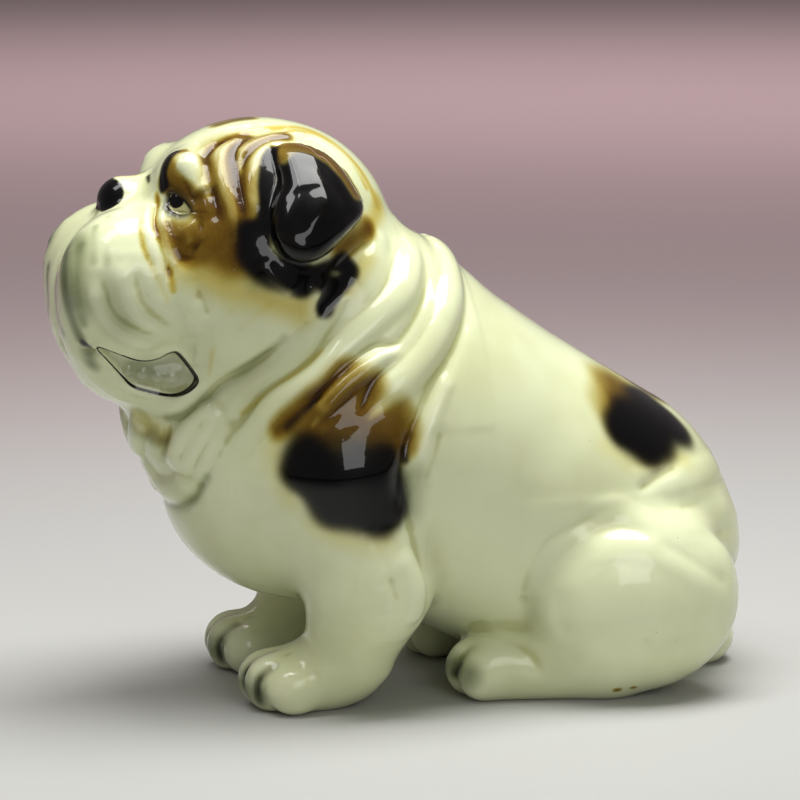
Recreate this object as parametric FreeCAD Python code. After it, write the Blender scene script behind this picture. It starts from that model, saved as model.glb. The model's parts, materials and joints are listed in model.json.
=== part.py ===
import FreeCAD, Part
import math
import os

# Seated bulldog figurine in glazed earthenware, millimetres.
# The dog looks along -Y, its left side is +X, up is +Z and the feet rest on z = 0.
# Every casting starts as soft lumps of clay, balls and limbs that flow into each other. A skin is drawn
# over the lumps from rings of points, taken in planes along a straight core line.

Vector = FreeCAD.Vector

# driving dimensions
WALL = 5.0                      # thickness of the cast walls
HEAD_PITCH = 33.8               # slope of the neck seam, degrees, rising towards the nape
NECK_FRONT = (-97.5, 101.4)     # Y and Z of the seam under the chin
NECK_BLEND = 10.0               # fillet between the head and the torso
SEAM_MARGIN = 6.0               # how far the raw castings run past the neck seam before trimming
VENT_RADIUS = 1.6               # pin holes that let steam out of the hollows in the kiln
BELLY_VENT_RADIUS = 1.9
POLE_FLAT = 0.25                # how much of a rounded end is left flat by its last ring
BLOCK = 400.0                   # side of the blocks that trim the castings, larger than the dog
HALVINGS = 14                   # how often the gap round the end of a ray is halved

# Pin vents from end to end: belly to the floor, through the neck seam, and into the left foreleg
BELLY_VENT = ((0, 20, 0), (0, 20, 60))
NECK_VENT = ((0, -42, 121), (0, -58, 145))
LEG_VENT = ((10, -26, 52), (42, -26, 48))

# Core line of each skin: a point inside the clay and a direction
TORSO_CORE = ((0, 10, 72), (0, 0.97, -0.24))
HEAD_CORE = ((0, -62, 149), (0, 0.966, 0.259))
FORELEG_CORE = ((37, -30, 40), (0.08, 0.06, 1))
FORELEG_HOLLOW_CORE = ((39, -27, 32), (0.08, 0.06, 1))
HIND_LEG_CORE = ((38, 50, 18), (0.08, 1, 0.1))
EAR_CORE = ((47, -40, 172), (0, 0, 1))
EAR_SPREAD = (0.45, 1.0)        # most rays run along the flat ear, to its rim
TAIL_CORE = ((0, 109, 9), (0, 1, 0))

# Lumps: ("ball", centre, radii, tilt about X, roll about Y, blend) or ("limb", start, end, radius at
# start, radius at end, blend). Lumps off the middle plane stand for both sides.
TORSO_LUMPS = [
    ("limb", (0, -4, 88.5), (0, 66, 51.5), 58.5, 54, 0),
    ("ball", (0, 6, 86), (54, 44, 54), 0, 0, 14),
    ("ball", (0, -37, 77), (50, 48, 45), 0, 0, 14),
    ("ball", (0, -16, 123), (48, 41, 41), 0, 0, 12),
    ("ball", (30, -30, 88), (28, 31, 42), 0, 0, 14),
    ("ball", (0, -67, 94), (34, 27, 20), 0, 0, 10),
    ("ball", (0, 92, 46), (40, 31, 25), 0, 0, 10),
]
HEAD_LUMPS = [
    ("ball", (0, -50, 157), (43, 46, 42), 0, 0, 0),
    ("ball", (25, -56, 143), (23, 32, 30), 0, 0, 12),
    ("ball", (0, -86, 147), (34, 30, 26), 0, 0, 10),
    ("ball", (16.5, -98, 144), (20, 24, 26), 0, 0, 6),
    ("ball", (0, -99, 141), (20, 22, 22), 0, 0, 8),
    ("ball", (10, -102, 129), (19, 18, 17), 0, 0, 6),
    ("ball", (0, -90, 118), (28, 25, 17), 0, 0, 5),
    ("limb", (0, -82, 169), (0, -97, 171), 11, 9, 4),
    ("ball", (14, -79, 179), (11, 9, 10), 0, 0, 5),
    ("ball", (0, -60, 115), (34, 34, 20), 25, 0, 12),
]
EAR_LUMPS = [
    ("ball", (40, -42, 176), (8, 18, 17), 0, -30, 0),
    ("ball", (44, -33, 169), (7, 12, 10), 0, -22, 8),
    ("ball", (46, -45, 163), (6.5, 12, 11), 0, -14, 8),
]
FORELEG_LUMPS = [
    ("limb", (40, -32, 81), (43, -21, 45), 24, 20, 0),
    ("limb", (43, -23, 43), (36, -27, 20), 19, 16, 10),
    ("ball", (30, -41, 9.5), (17, 22, 12), 0, 0, 8),
    ("ball", (17, -51, 8.5), (6, 9, 8.5), 0, 0, 3),
    ("ball", (26, -55, 9.5), (6, 9, 9.5), 0, 0, 3),
    ("ball", (35, -54, 9.5), (6, 9, 9.5), 0, 0, 3),
    ("ball", (43, -48, 8), (6, 9, 8), 0, 0, 3),
]
FORELEG_HOLLOW_LUMPS = [("limb", (42, -24, 46), (37, -27, 20), 13, 10, 0)]
HIND_LEG_LUMPS = [
    ("ball", (44, 72, 34), (24, 38, 33), 0, 0, 0),
    ("limb", (34, 27, 11), (40, 60, 12), 14, 15, 8),
    ("ball", (24, 20, 9), (6, 9, 9), 0, 0, 3),
    ("ball", (32, 17, 10), (6, 9, 10), 0, 0, 3),
    ("ball", (41, 19, 9), (6, 9, 9), 0, 0, 3),
]
TAIL_LUMPS = [("ball", (0, 109, 9), (17, 16, 12), 0, 0, 0)]


def ball_distance(centre, radii, tilt, roll):
    """Distance function of an ellipsoid, about right near its skin."""
    cx, cy, cz = centre
    rx, ry, rz = radii
    ct, st = math.cos(math.radians(tilt)), math.sin(math.radians(tilt))
    cr, sr = math.cos(math.radians(roll)), math.sin(math.radians(roll))

    def distance(x, y, z):
        if cx:
            x = abs(x)
        x, y, z = x - cx, y - cy, z - cz
        x, z = x * cr - z * sr, x * sr + z * cr
        y, z = y * ct + z * st, z * ct - y * st
        a, b, c = x / rx, y / ry, z / rz
        near = math.sqrt(a * a + b * b + c * c)
        slope = math.sqrt((a / rx) ** 2 + (b / ry) ** 2 + (c / rz) ** 2)
        thickness = near / slope if slope > 1e-9 else min(radii)
        return thickness * (near - 1)

    return distance


def limb_distance(start, end, start_radius, end_radius):
    """Distance function of a rounded, tapering limb."""
    sx, sy, sz = start
    dx, dy, dz = (end[i] - start[i] for i in range(3))
    length_squared = dx * dx + dy * dy + dz * dz

    def distance(x, y, z):
        if sx:
            x = abs(x)
        x, y, z = x - sx, y - sy, z - sz
        t = min(1.0, max(0.0, (x * dx + y * dy + z * dz) / length_squared))
        gap = math.sqrt((x - t * dx) ** 2 + (y - t * dy) ** 2 + (z - t * dz) ** 2)
        return gap - start_radius - t * (end_radius - start_radius)

    return distance


def melt(a, b, blend):
    """Union of two distances with a fillet about as wide as the blend."""
    if blend <= 0:
        return min(a, b)
    overlap = max(0.0, blend - abs(a - b))
    return min(a, b) - overlap * overlap / (4 * blend)


def clay(lumps):
    """One distance function for a whole group of lumps."""
    parts = []
    for lump in lumps:
        if lump[0] == "ball":
            parts.append((ball_distance(*lump[1:5]), lump[5]))
        else:
            parts.append((limb_distance(*lump[1:5]), lump[5]))

    def distance(x, y, z):
        value = parts[0][0](x, y, z)
        for part, blend in parts[1:]:
            value = melt(value, part(x, y, z), blend)
        return value

    return distance


def reach(field, origin, direction, limit=150.0, stride=2.0):
    """How far a ray runs from a point inside the clay until it leaves it."""
    def at(t):
        return field(origin.x + direction.x * t, origin.y + direction.y * t, origin.z + direction.z * t)

    far = 0.0
    while far < limit and at(far) < 0:
        far += stride
    near = max(0.0, far - stride)
    for _ in range(HALVINGS):
        middle = (near + far) / 2
        if at(middle) < 0:
            near = middle
        else:
            far = middle
    return (near + far) / 2


def skin(field, core_line, rings, spokes, spread=(1.0, 1.0)):
    """Closed solid over the clay, from rings square to a core line that runs through it."""
    middle, core = (Vector(*numbers) for numbers in core_line)
    core = core.normalize()
    start = middle - core * reach(field, middle, -core)
    end = middle + core * reach(field, middle, core)
    length = (end - start).Length
    across = Vector(1, 0, 0) if abs(core.x) < 0.9 else Vector(0, 1, 0)
    across = (across - core * across.dot(core)).normalize()
    upward = core.cross(across)
    tip = math.acos(1 - 2 * POLE_FLAT / length) / math.pi
    rows = []
    for i in range(rings):
        turn = tip + (1 - 2 * tip) * i / (rings - 1)
        centre = start + core * (length * (1 - math.cos(math.pi * turn)) / 2)
        row = []
        for j in range(spokes):
            angle = 2 * math.pi * j / spokes
            ray = (across * (spread[0] * math.cos(angle)) + upward * (spread[1] * math.sin(angle))).normalize()
            row.append(centre + ray * reach(field, centre, ray))
        rows.append(row)
    surface = Part.BSplineSurface()
    surface.buildFromPolesMultsKnots(
        rows,
        [4] + [1] * (rings - 4) + [4],
        [1] * (spokes + 1),
        list(range(rings - 2)),
        list(range(spokes + 1)),
        False, True, 3, 3,
    )
    side = surface.toShape()
    caps = [Part.Face(Part.Wire([edge])) for edge in side.Edges if edge.isClosed()]
    faces = Part.makeCompound([side] + caps)
    faces.sewShape()
    solid = Part.makeSolid(faces.Shells[0])
    if solid.Volume < 0:
        solid.reverse()
    return solid


def neck_height(y, z):
    """Distance above the neck seam plane, positive on the head's side."""
    slope = math.radians(HEAD_PITCH)
    return (z - NECK_FRONT[1]) * math.cos(slope) - (y - NECK_FRONT[0]) * math.sin(slope)


def neck_block(sign):
    """Big block that ends on the neck seam plane: +1 is the head's side, -1 the torso's."""
    block = Part.makeBox(BLOCK, BLOCK, BLOCK, Vector(-BLOCK / 2, -BLOCK / 2, 0 if sign > 0 else -BLOCK))
    block.rotate(Vector(0, 0, 0), Vector(1, 0, 0), HEAD_PITCH)
    block.translate(Vector(0, NECK_FRONT[0], NECK_FRONT[1]))
    return block


def pin_hole(ends, radius):
    """Straight round hole between two points."""
    start, end = (Vector(*point) for point in ends)
    return Part.makeCylinder(radius, (end - start).Length, start, end - start)


def above_floor(solid):
    """Grind the foot ring flat at z = 0."""
    return solid.cut(Part.makeBox(BLOCK, BLOCK, BLOCK, Vector(-BLOCK / 2, -BLOCK / 2, -BLOCK)))


def one_solid(shape):
    """The largest solid of a result, so that no crumb of a cut is kept."""
    return max(shape.Solids, key=lambda solid: solid.Volume)


def mirrored(solid):
    return solid.mirror(Vector(0, 0, 0), Vector(1, 0, 0))


def save(shape, node):
    shape = one_solid(shape)
    if not shape.isValid():
        raise RuntimeError(node + " is not a valid solid")
    shape.exportStep("parts/" + node + ".step")
    box = shape.BoundBox
    print("%-16s volume %9.0f  X %7.1f %7.1f  Y %7.1f %7.1f  Z %6.1f %6.1f" % (
        node, shape.Volume, box.XMin, box.XMax, box.YMin, box.YMax, box.ZMin, box.ZMax))


os.makedirs("parts", exist_ok=True)

torso_clay = clay(TORSO_LUMPS)
head_clay = clay(HEAD_LUMPS)


def torso_field(x, y, z):
    body = melt(torso_clay(x, y, z), head_clay(x, y, z), NECK_BLEND)
    return max(body, neck_height(y, z) - SEAM_MARGIN)


def head_field(x, y, z):
    body = melt(torso_clay(x, y, z), head_clay(x, y, z), NECK_BLEND)
    return max(body, -neck_height(y, z) - SEAM_MARGIN)


def torso_hollow_field(x, y, z):
    body = max(torso_clay(x, y, z), neck_height(y, z))
    return max(body, -z) + WALL


def head_hollow_field(x, y, z):
    return max(head_clay(x, y, z), -neck_height(y, z)) + WALL


# torso: one hollow casting from the dewlap to the rump
torso_outer = above_floor(skin(torso_field, TORSO_CORE, rings=34, spokes=48).cut(neck_block(1)))
torso = torso_outer.cut(skin(torso_hollow_field, TORSO_CORE, rings=26, spokes=36))

# head: one hollow casting from the upper lips to the nape
head_outer = skin(head_field, HEAD_CORE, rings=40, spokes=56).cut(neck_block(-1))
head = head_outer.cut(skin(head_hollow_field, HEAD_CORE, rings=26, spokes=36))

# forelegs, hind legs, ears and tail, trimmed where they are luted on
foreleg = above_floor(skin(clay(FORELEG_LUMPS), FORELEG_CORE, rings=34, spokes=56)).cut(torso_outer)
foreleg = foreleg.cut(skin(clay(FORELEG_HOLLOW_LUMPS), FORELEG_HOLLOW_CORE, rings=14, spokes=20))
hind_leg = above_floor(skin(clay(HIND_LEG_LUMPS), HIND_LEG_CORE, rings=36, spokes=48)).cut(torso_outer)
ear = skin(clay(EAR_LUMPS), EAR_CORE, rings=26, spokes=44, spread=EAR_SPREAD).cut(head_outer)
tail = above_floor(skin(clay(TAIL_LUMPS), TAIL_CORE, rings=16, spokes=32)).cut(torso_outer)

# pin vents
neck_vent = pin_hole(NECK_VENT, VENT_RADIUS)
leg_vent = pin_hole(LEG_VENT, VENT_RADIUS)
torso = torso.cut(pin_hole(BELLY_VENT, BELLY_VENT_RADIUS)).cut(neck_vent)
torso = torso.cut(leg_vent).cut(mirrored(leg_vent))
head = head.cut(neck_vent)
foreleg = foreleg.cut(leg_vent)

save(torso, "torso")
save(head, "head")
for node, solid in (("ear", ear), ("foreleg", foreleg), ("hind_leg", hind_leg)):
    save(solid, "left_" + node)
    save(mirrored(one_solid(solid)), "right_" + node)
save(tail, "tail")
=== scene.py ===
import json
import math
import bpy
import numpy as np
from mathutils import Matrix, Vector


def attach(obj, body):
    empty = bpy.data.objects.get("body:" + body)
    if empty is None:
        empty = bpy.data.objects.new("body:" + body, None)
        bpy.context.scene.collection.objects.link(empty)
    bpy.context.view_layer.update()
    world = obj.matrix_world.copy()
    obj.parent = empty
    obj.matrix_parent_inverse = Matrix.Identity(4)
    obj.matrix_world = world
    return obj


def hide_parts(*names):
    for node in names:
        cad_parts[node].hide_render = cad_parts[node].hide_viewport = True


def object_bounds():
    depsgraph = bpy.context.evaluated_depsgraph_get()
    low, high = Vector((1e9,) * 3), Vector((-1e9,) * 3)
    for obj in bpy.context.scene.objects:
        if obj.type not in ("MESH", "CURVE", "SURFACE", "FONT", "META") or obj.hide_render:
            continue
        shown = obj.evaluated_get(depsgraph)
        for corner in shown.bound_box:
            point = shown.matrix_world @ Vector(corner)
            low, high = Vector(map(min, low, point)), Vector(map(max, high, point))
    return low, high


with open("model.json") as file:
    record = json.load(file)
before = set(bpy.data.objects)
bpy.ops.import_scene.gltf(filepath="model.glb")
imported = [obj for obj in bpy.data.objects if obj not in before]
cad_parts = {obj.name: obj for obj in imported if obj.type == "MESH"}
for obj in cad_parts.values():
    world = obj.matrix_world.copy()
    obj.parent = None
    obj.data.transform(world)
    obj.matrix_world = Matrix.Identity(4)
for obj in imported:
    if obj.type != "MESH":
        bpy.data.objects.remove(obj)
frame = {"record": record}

# Seated bulldog in glazed earthenware. The clay is modelled in millimetres from the same soft lumps as
# the castings, then folds, eyes, mouth and toes are pressed into it, and it is cut along the luted
# seams into one mesh for each casting. Paint densities, painted shade among them, are stored on the vertices
# for the glaze shader.

CAD_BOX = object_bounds()
MM = 0.001
STEP = 0.95                     # size of the modelling grid, mm
CHUNK = 300000                  # points worked on at a time
# How softly the seams between castings are filled with slip, mm
NECK_BLEND, HIP_BLEND, TAIL_BLEND, EAR_BLEND = 9, 5, 3, 1.5


def toe(x, y, height):
    """One toe, which rests on the floor and reaches twice its centre's height."""
    return "ball", (x, y, height), (6, 9, height), 0, 0, 3


# Lumps: ("ball", centre, radii, tilt, roll, blend) or ("limb", start, end, radius, radius, blend)
TORSO = [
    ("limb", (0, -4, 88.5), (0, 66, 51.5), 58.5, 54, 0),
    ("ball", (0, 6, 86), (54, 44, 54), 0, 0, 14),
    ("ball", (0, -37, 77), (50, 48, 45), 0, 0, 14),
    ("ball", (0, -16, 123), (48, 41, 41), 0, 0, 12),
    ("ball", (30, -30, 88), (28, 31, 42), 0, 0, 14),
    ("ball", (0, -67, 94), (34, 27, 20), 0, 0, 10),
    ("ball", (0, 92, 46), (40, 31, 25), 0, 0, 10),
]
HEAD = [
    ("ball", (0, -50, 157), (43, 46, 42), 0, 0, 0),
    ("ball", (25, -56, 143), (23, 32, 30), 0, 0, 12),
    ("ball", (0, -86, 147), (34, 30, 26), 0, 0, 10),
    ("ball", (16.5, -98, 144), (20, 24, 26), 0, 0, 6),
    ("ball", (0, -99, 141), (20, 22, 22), 0, 0, 8),
    ("ball", (10, -102, 129), (19, 18, 17), 0, 0, 6),
    ("ball", (0, -90, 118), (28, 25, 17), 0, 0, 5),
    ("limb", (0, -82, 169), (0, -97, 171), 11, 9, 4),
    ("ball", (14, -79, 179), (11, 9, 10), 0, 0, 5),
    ("ball", (0, -60, 115), (34, 34, 20), 25, 0, 12),
]
# Outline of the ear flap seen from the side, as Y and Z: along the fold at its top, then round the tip
EAR_TOP = [(-51, 189.7), (-48.5, 192.5), (-43.7, 193.7), (-38, 192.3), (-32, 188.6), (-27.4, 183.3),
           (-24, 177.4)]
EAR = [*EAR_TOP,
       (-21.4, 171.9), (-23, 167.7), (-27.7, 164.6), (-32.8, 160.9), (-37.8, 157), (-43, 155), (-47.5, 155),
       (-51.4, 156.6), (-54, 159.8), (-55.5, 165.3), (-55, 170.4), (-53, 175.2), (-50.8, 179.7),
       (-50.7, 184.8)]
EAR_INNER = 27                  # the flap reaches in to this far from the middle plane
EAR_BOX = [(28, -58, 150), (60, -18, 198)]          # two corners of a box round the left flap
EAR_TIP = (-39, 173)            # Y and Z where the folded tip is thickest
FORELEG = [
    ("limb", (40, -32, 81), (43, -21, 45), 24, 20, 0),
    ("limb", (43, -23, 43), (36, -27, 20), 19, 16, 10),
    ("ball", (30, -41, 9.5), (17, 22, 12), 0, 0, 8),
    toe(17, -51, 8.5),
    toe(26, -55, 9.5),
    toe(35, -54, 9.5),
    toe(43, -48, 8),
]
HIND_LEG = [
    ("ball", (44, 72, 34), (24, 38, 33), 0, 0, 0),
    ("limb", (34, 27, 11), (40, 60, 12), 14, 15, 8),
    toe(24, 20, 9),
    toe(32, 17, 10),
    toe(41, 19, 9),
]
TAIL = [("ball", (0, 109, 9), (17, 16, 12), 0, 0, 0)]
NECK_SEAM = (-97.5, 101.4, math.radians(33.8))      # Y, Z and slope of the seam under the chin


def turned(tilt, roll):
    """Rotation that takes a row vector into a lump's own axes."""
    ct, st = math.cos(math.radians(tilt)), math.sin(math.radians(tilt))
    cr, sr = math.cos(math.radians(roll)), math.sin(math.radians(roll))
    about_y = np.array([[cr, 0, sr], [0, 1, 0], [-sr, 0, cr]])
    about_x = np.array([[1, 0, 0], [0, ct, -st], [0, st, ct]])
    return (about_y @ about_x).astype(np.float32)


def ball(p, centre, radii, tilt, roll):
    q = p - np.asarray(centre, np.float32)
    if tilt or roll:
        q = q @ turned(tilt, roll)
    a = q / np.asarray(radii, np.float32)
    out = np.sqrt((a * a).sum(1))
    b = a / np.asarray(radii, np.float32)
    slope = np.sqrt((b * b).sum(1))
    return out * (out - 1) / np.maximum(slope, 1e-6)


def limb(p, start, end, start_radius, end_radius):
    start = np.asarray(start, np.float32)
    along = np.asarray(end, np.float32) - start
    t = np.clip((p - start) @ along / float(along @ along), 0, 1)
    gap = np.sqrt(((p - start - t[:, None] * along) ** 2).sum(1))
    return gap - start_radius - t * (end_radius - start_radius)


def melt(a, b, blend):
    if blend <= 0:
        return np.minimum(a, b)
    overlap = np.clip(blend - np.abs(a - b), 0, None)
    return np.minimum(a, b) - overlap * overlap / (4 * blend)


def clay(p, lumps):
    """Distance to a group of lumps. Lumps off the middle plane stand for both sides."""
    both = p.copy()
    both[:, 0] = np.abs(both[:, 0])
    value = None
    for kind, *sizes, blend in lumps:
        one = ball(both, *sizes) if kind == "ball" else limb(both, *sizes)
        value = one if value is None else melt(value, one, blend)
    return value


def neck_height(p):
    y, z, slope = NECK_SEAM
    return (p[:, 2] - z) * math.cos(slope) - (p[:, 1] - y) * math.sin(slope)


def ear(p):
    """Distance to the ear flaps: pads of clay laid on the sides of the head, thicker towards the tip."""
    q = on_left(p)
    value = np.full(len(q), 30.0, np.float32)
    close = near(q, EAR_BOX, 10)
    q = q[close]
    edge = outline_distance(q[:, 1:], EAR)
    thickness = 5.5 + 0.11 * (190 - q[:, 2]) - 0.3 * np.clip(edge + 8, -6, 0)
    from_tip = q[:, 1:] - np.array(EAR_TIP)
    thickness += 2.2 * np.exp(-(from_tip ** 2).sum(1) / 110)
    cover = clay(q, HEAD) - thickness
    value[close] = -melt(-np.maximum(edge, EAR_INNER - q[:, 0]), -cover, 7)
    return value


def body(p):
    """Distance to the head, the torso and the legs, with their seams filled."""
    value = melt(clay(p, TORSO), clay(p, HEAD), NECK_BLEND)
    value = melt(value, clay(p, FORELEG), NECK_BLEND)
    return melt(value, clay(p, HIND_LEG), HIP_BLEND)


def dog(p):
    """Distance to the whole figurine before the folds are pressed in."""
    value = melt(body(p), clay(p, TAIL), TAIL_BLEND)
    value = melt(value, ear(p), EAR_BLEND)
    return np.maximum(value, -p[:, 2])


# Folds on the left side, mirrored on the right: (height, half width, points). Each one runs smoothly through
# a few points, given as Y and Z where the side of the clay supplies X, or as X, Y and Z near the middle.
ROLLS = [
    # rolls of loose skin round the neck, from the nape down to the dewlap
    (2.3, 5.2, [(13, 0, 160), (-10, 143), (-27, 130), (-40, 118), (-54, 108), (-69, 84)]),
    (2.5, 5.6, [(4, 12, 153), (7, 137), (-2, 124), (-15, 113), (-25, 103)]),
    (2.2, 3.4, [(-10, 125), (-28, 117), (-39, 108), (-45, 101)]),
    (1.3, 3.2, [(4, 118), (-5, 100), (-9, 84)]),
    (2.0, 5.0, [(-12, 163), (-23, 144), (-41, 130), (-56, 116), (-68, 104), (-74, 97)]),
    # lobes of the dewlap
    (2.8, 6.0, [(-71, 108), (-77, 99), (-82, 91), (22, -83, 80)]),
    (2.4, 5.0, [(2, -88, 80), (6, -85, 74), (19, -82, 75), (-79, 81)]),
    (3.0, 5.0, [(17, -93, 101), (8, -94, 94), (-3, -92, 84)]),
    (1.6, 3.6, [(-70, 95), (-74, 86), (-78, 78)]),
    # brow, forehead and cheek
    (2.4, 4.6, [(19, -82, 187), (22, -79, 186), (-76, 182), (-74, 175)]),
    (1.7, 2.9, [(17, -54, 195), (-64, 192), (-69, 184), (-67, 171), (-68, 162)]),
    (1.7, 3.4, [(18, -41, 194), (-54, 191), (-59, 182), (-60, 167)]),
    (1.1, 2.4, [(18, -45, 195), (-57, 192), (-62, 187)]),
    (1.5, 3.8, [(-82, 166), (-80, 163), (-79, 160)]),
    (1.5, 2.4, [(-86, 175), (-89, 166), (-88, 158), (-87, 150)]),
    (1.1, 2.4, [(18, -91, 173), (28, -94, 166), (-93, 159), (-91, 152)]),
    (1.4, 3.6, [(-112, 150), (-111, 141), (-106, 133), (-97, 128), (-88, 127)]),
    (1.2, 3.4, [(-104, 155), (-102, 146), (-98, 137), (-90, 131)]),
    (1.1, 3.2, [(-93, 145), (-89, 138), (-83, 133), (-76, 135)]),
    (1.0, 3.0, [(18, -116, 161), (25, -118, 152), (28, -118, 142), (28, -115, 133)]),
    # folds under the ear
    (1.8, 3.6, [(-13, 162), (-18, 154), (-30, 143)]),
    (1.4, 3.0, [(-59, 157), (-57, 150), (-48, 143)]),
    (1.6, 3.0, [(-40, 148), (-43, 141), (-41, 134)]),
    # rim of the lower jaw, and the chin
    (1.4, 3.4, [(17, -111, 114), (18, -101, 107), (-92, 105), (-84, 105), (-73, 115)]),
    # elbow, stifle and rump
    (1.5, 4.6, [(-17, 60), (-11, 47), (-13, 31)]),
    (1.2, 3.2, [(-28, 63), (-23, 59), (-20, 49)]),
    (1.1, 5.0, [(33, 42), (34, 51), (40, 58), (51, 64), (63, 67), (82, 59)]),
    (0.8, 6.5, [(44, 49), (53, 55), (67, 56), (80, 51), (98, 36)]),
    (0.9, 5.0, [(75, 71), (84, 74), (97, 75), (14, 114, 74)]),
    (0.6, 6.0, [(76, 62), (93, 61), (25, 114, 63)]),
]
# Creases pressed in: (depth, half width, points)
FOLDS = [
    # beside the muzzle, under the eye and across the forehead
    (-1.6, 1.1, [(18, -88, 175), (-90, 170), (-91, 165), (-88, 151), (-87, 145)]),
    (-0.8, 0.8, [(21, -94, 170), (-96, 164), (-95, 156), (-89, 142)]),
    (-1.2, 2.2, [(-110, 153), (-109, 143), (-104, 135), (-89, 129)]),
    (-1.2, 2.2, [(-100, 154), (-99, 145), (-94, 137), (-79, 129)]),
    (-1.6, 1.5, [(12, -39, 196), (17, -51, 196), (-63, 193), (-73, 187), (-72, 174), (-71, 164)]),
    (-1.6, 1.3, [(15, -39, 195), (19, -51, 195), (-63, 190), (-64, 174), (-65, 166)]),
    (-1.5, 1.3, [(20, -41, 193), (-52, 192), (-60, 187), (-62, 181)]),
    (-1.2, 2.4, [(-76, 171), (-80, 158), (-84, 156), (-87, 159)]),
    (-1.2, 2.0, [(-81, 145), (-78, 142), (-76, 136)]),
    (-1.3, 1.1, [(-19, 159), (-26, 156), (-35, 150)]),
    # between the jaw and the neck, round the dewlap, and between the neck rolls
    (-2.4, 2.0, [(-51, 130), (-59, 121), (-71, 113), (-80, 103), (24, -87, 100), (18, -92, 101)]),
    (-1.8, 2.2, [(-20, 149), (-36, 131), (-46, 118), (-59, 109), (-68, 96), (-72, 88), (31, -76, 80),
                 (24, -79, 73), (15, -82, 68), (-3, -84, 68)]),
    (-1.6, 1.6, [(3, 155), (-3, 140), (-14, 127), (-22, 126), (-34, 119), (-43, 109), (-54, 99)]),
    (-1.3, 1.5, [(-11, 124), (-22, 117), (-30, 103)]),
    (-2.0, 2.8, [(16, 142), (6, 125), (-7, 108), (-16, 84), (-12, 67), (-7, 49), (-8, 41)]),
    (-0.8, 2.2, [(-1, 100), (-6, 84), (-9, 79)]),
    (-2.4, 1.9, [(-86, 100), (23, -87, 95), (20, -88, 90), (15, -88, 84)]),
    (-1.4, 1.8, [(-74, 102), (-81, 91), (-83, 85)]),
    (-1.2, 1.8, [(-66, 103), (-73, 87)]),
    # elbow, thigh and rump
    (-1.2, 1.8, [(-26, 67), (-22, 55), (-19, 46), (-17, 38)]),
    (-1.7, 3.2, [(31, 21), (31, 41), (35, 55), (42, 61), (62, 69)]),
    (-0.8, 3.4, [(49, 59), (58, 61), (68, 60), (75, 56)]),
    (-0.9, 3.0, [(71, 58), (81, 53), (96, 43), (104, 41)]),
    (-1.3, 1.6, [(69, 72), (83, 77), (90, 79)]),
    (-0.6, 3.2, [(70, 67), (95, 66), (15, 119, 69)]),
    (-0.5, 3.2, [(86, 57), (98, 56), (25, 117, 54)]),
    (-0.9, 4.0, [(41, 42), (41, 33), (45, 23)]),
    (-0.9, 3.4, [(65, 24), (84, 23)]),
    (-1.2, 2.6, [(25, 15, 22), (20, 24), (31, 19), (35, 15), (39, 7)]),
    # split between the upper lips under the nose, and the edge of the upper lip over the chin
    (-2.6, 1.8, [(0, -107, 169), (0, -114, 164), (0, -120, 153), (0, -121, 141), (0, -117, 124)]),
    (-2.2, 1.6, [(-4, -118, 124), (0, -118, 124), (8, -117, 125), (23, -114, 124), (27, -110, 124)]),
]
# Clefts between the toes: X and Y at the front of the paw, and X on top of it
FORE_CLEFTS = [(21.5, -60, 23), (30.5, -63, 30), (39.5, -60, 37)]
HIND_CLEFTS = [(28, 8, 31), (37, 8, 37)]
MIDDLE = 6                      # a roll that starts this near the middle plane runs across it, untapered
# Small bumps and dents, left side: height, radius, point
BUMPS = [
    (-1.4, 2.2, (5, -108, 173)),
    (2.4, 2.1, (26, -101, 116)),
    (2.2, 2.0, (26.5, -96, 115)),
    (2.4, 2.1, (27.5, -91, 114)),
    (2.2, 2.0, (28, -86, 114)),
    (-1.0, 5.0, (40, -80, 146)),
]
# Outline of the open corner of the mouth on the side of the muzzle, as Y and Z
MOUTH = [(-111, 125.3), (-107.5, 124.6), (-103, 122.7), (-98, 120.8), (-94, 120.4), (-90, 121.2),
         (-87, 122.6), (-84.5, 123.0), (-82, 120.5), (-79.5, 117), (-78, 114), (-79.5, 111.3),
         (-83, 108.9), (-87, 108.3), (-93, 109.6), (-98.5, 111.6), (-102, 115), (-106, 119.5)]
MOUTH_BOX = [(14, -112, 107), (60, -76, 127)]       # two corners of a box round the left corner
# Eye: the iris centre, the two axes of the eye's plane (towards the outer corner, and up) and the outline
IRIS = (25.1, -83.7, 173.6)
EYE_OUT = (0.754, 0.554, -0.354)
EYE_UP = (0.0, 0.534, 0.845)
EYE = [(-2.3, 1.1), (-1.8, -0.8), (-1.0, -2.3), (0.3, -3.4), (2.6, -3.7), (5.7, -3.0), (7.7, -0.7),
       (5.2, 0.7), (1.9, 1.4)]
PUPIL = (0.7, 0.2)              # middle of the dark iris in the plane of the eye
FAR = 9                         # distances to the mouth and the eye stop counting here, mm
FAR_IRIS = 20
# How far the lips and lids stand up, the mouth and eyes are sunk, and the eyeball swells, mm
LIP_RISE, LID_RISE = 0.5, 0.2
MOUTH_DEPTH, EYE_DEPTH = 2.5, 1.1
EYEBALL_RISE = 1.0


def smooth_line(points, closed=False, per_span=6):
    """Points along a Catmull-Rom curve through the given ones."""
    p = np.array(points, float)
    if closed:
        p = np.vstack([p[-1:], p, p[:2]])
    else:
        p = np.vstack([2 * p[0] - p[1], p, 2 * p[-1] - p[-2]])
    out = []
    for i in range(1, len(p) - 2):
        for k in range(per_span):
            t = k / per_span
            out.append(0.5 * (2 * p[i] + (p[i + 1] - p[i - 1]) * t
                              + (2 * p[i - 1] - 5 * p[i] + 4 * p[i + 1] - p[i + 2]) * t * t
                              + (3 * p[i] - p[i - 1] - 3 * p[i + 1] + p[i + 2]) * t ** 3))
    if not closed:
        out.append(p[-2])
    return np.array(out)


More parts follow.
